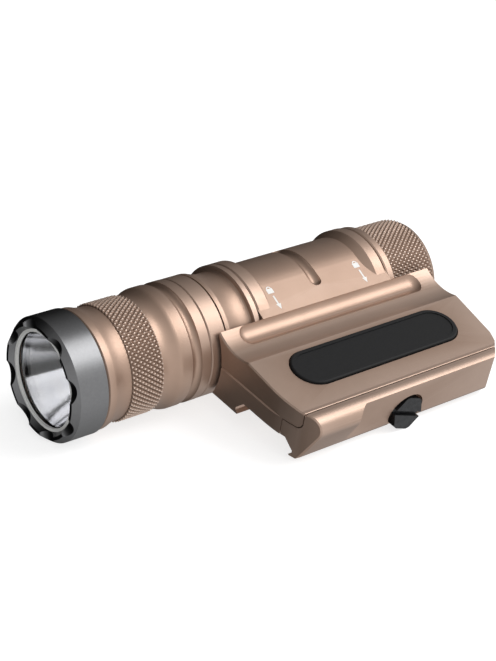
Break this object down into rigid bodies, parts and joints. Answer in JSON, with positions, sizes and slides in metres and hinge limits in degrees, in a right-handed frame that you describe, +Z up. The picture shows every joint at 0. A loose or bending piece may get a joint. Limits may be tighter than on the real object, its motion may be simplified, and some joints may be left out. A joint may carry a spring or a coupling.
{
  "type": "tactical flashlight",
  "caption": "Rail-mounted tactical flashlight: turned lamp tube with knurled head and tail cap beside a rail clamp with a press switch and cross-bolt.",
  "frame": {"origin": "middle of the rail seat, on the cross-bolt's station", "axes": "+X the way the beam points, along the rail; +Y towards the clamp screw; +Z up out of the seat, away from the rail"},
  "size_m": [0.1229, 0.0698, 0.0332],
  "materials": {
    "tan_anodised": "bead-blasted hard-anodised tan",
    "bezel_steel": "turned gunmetal steel",
    "lens_glass": "clear coated glass",
    "seal_rubber": "matte",
    "reflector_chrome": "vacuum-metallised",
    "white_plastic": "matte moulded",
    "emitter_yellow": "phosphor under clear dome",
    "board_white": "white solder mask on metal-core board",
    "board_green": "green solder mask",
    "brass": "turned brass",
    "spring_steel": "drawn steel",
    "cell_steel": "nickel-plated steel",
    "cell_wrap": "shrink wrap",
    "pad_rubber": "fine matte texture",
    "flex_film": "polyimide film",
    "black_steel": "black oxide"
  },
  "bodies": {
    "housing": {"body_housing": "tan_anodised", "rail_base": "tan_anodised", "base_screws": "black_steel", "clamp_nut": "black_steel", "guide_pins": "spring_steel", "battery_sleeve": "white_plastic", "cell_can": "cell_steel", "cell_wrap": "cell_wrap", "cell_cap": "cell_steel", "switch_board": "board_green", "switch_domes": "spring_steel", "switch_flex": "flex_film"},
    "head_travel": {"head_o_ring": "seal_rubber"},
    "head": {"head_adapter": "tan_anodised", "head_collar": "tan_anodised", "head_housing": "tan_anodised", "bezel_ring": "bezel_steel", "front_lens": "lens_glass", "lens_seal": "seal_rubber", "reflector": "reflector_chrome", "led_centering_ring": "white_plastic", "led_emitter": "emitter_yellow", "led_board": "board_white", "heatsink_pill": "brass", "driver_board": "board_green", "driver_retaining_ring": "brass", "head_contact_spring": "spring_steel"},
    "tail_travel": {"tail_o_ring": "seal_rubber"},
    "tail": {"tail_cap": "tan_anodised", "tail_contact_board": "board_green", "tail_retaining_ring": "brass", "tail_spring": "spring_steel"},
    "switch": {"switch_pad": "pad_rubber"},
    "clamp": {"clamp_plate": "tan_anodised"},
    "bolt": {"clamp_screw": "black_steel"}
  },
  "joints": [
    {"name": "head_advance", "type": "slide", "parent": "housing", "child": "head_travel", "axis": [1, 0, 0], "range_m": [0, 0.01]},
    {"name": "head_turn", "type": "hinge", "parent": "head_travel", "child": "head", "pos_m": [0.03, -0.0356, 0.0039], "axis": [1, 0, 0], "range_deg": [0, 3600]},
    {"name": "tail_advance", "type": "slide", "parent": "housing", "child": "tail_travel", "axis": [-1, 0, 0], "range_m": [0, 0.0096]},
    {"name": "tail_turn", "type": "hinge", "parent": "tail_travel", "child": "tail", "pos_m": [-0.03, -0.0356, 0.0039], "axis": [-1, 0, 0], "range_deg": [0, 3456]},
    {"name": "switch_press", "type": "slide", "parent": "housing", "child": "switch", "axis": [0, -0.1288, -0.9917], "range_m": [0, 0.0006], "stiffness_N_per_m": 2000},
    {"name": "clamp_slide", "type": "slide", "parent": "housing", "child": "clamp", "axis": [0, 1, 0], "range_m": [0, 0.003]},
    {"name": "bolt_turn", "type": "hinge", "parent": "clamp", "child": "bolt", "pos_m": [0, 0.015, -0.0002], "axis": [0, 1, 0], "range_deg": [0, 1350.01]}
  ],
  "couplings": [
    {"joint": "head_advance", "follows": "head_turn", "m_per_rad": 0.00015915},
    {"joint": "tail_advance", "follows": "tail_turn", "m_per_rad": 0.00015915},
    {"joint": "bolt_turn", "follows": "clamp_slide", "rad_per_m": 7854}
  ]
}
